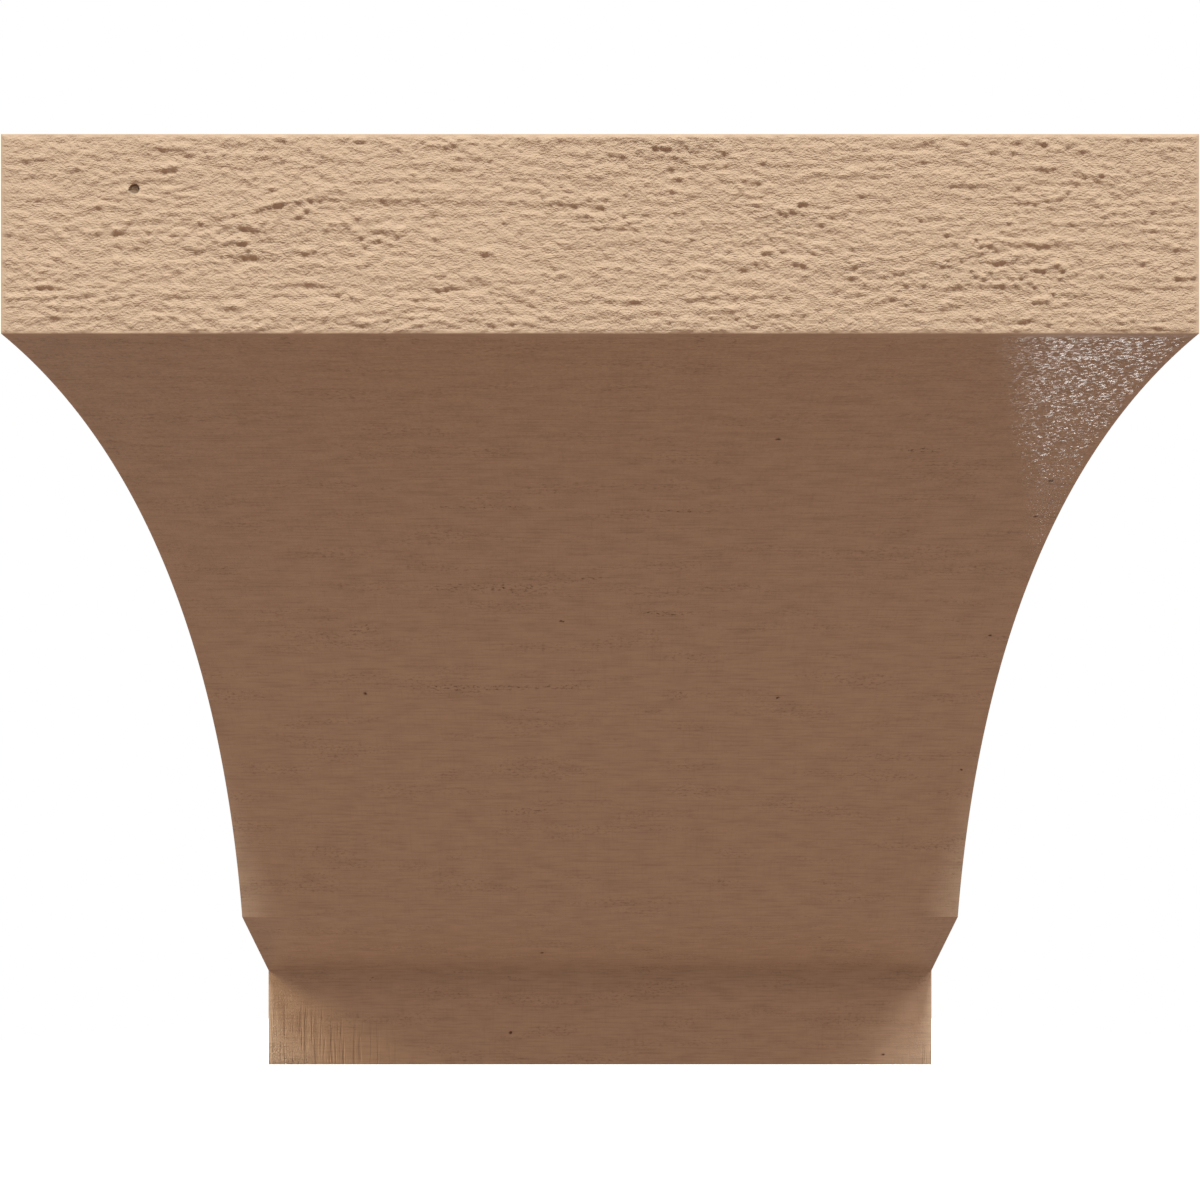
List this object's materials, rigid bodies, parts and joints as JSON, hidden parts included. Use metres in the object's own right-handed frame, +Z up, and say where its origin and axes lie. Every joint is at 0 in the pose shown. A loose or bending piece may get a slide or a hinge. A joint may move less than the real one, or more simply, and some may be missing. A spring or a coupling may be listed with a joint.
{
  "type": "corbel",
  "caption": "Square wall corbel: a thick slab over a deep cove, a chamfer and a small foot, with a rough-sawn timber surface and a flat back.",
  "frame": {"origin": "centre of the flat back, where the wall is", "axes": "+Z up, +Y into the wall, +X along the wall; the corbel projects along -Y"},
  "size_m": [0.3048, 0.3048, 0.3048],
  "materials": {
    "primed_foam": "flat tan primer on rough-sawn grain"
  },
  "bodies": {
    "root": {"corbel": "primed_foam"}
  },
  "joints": []
}
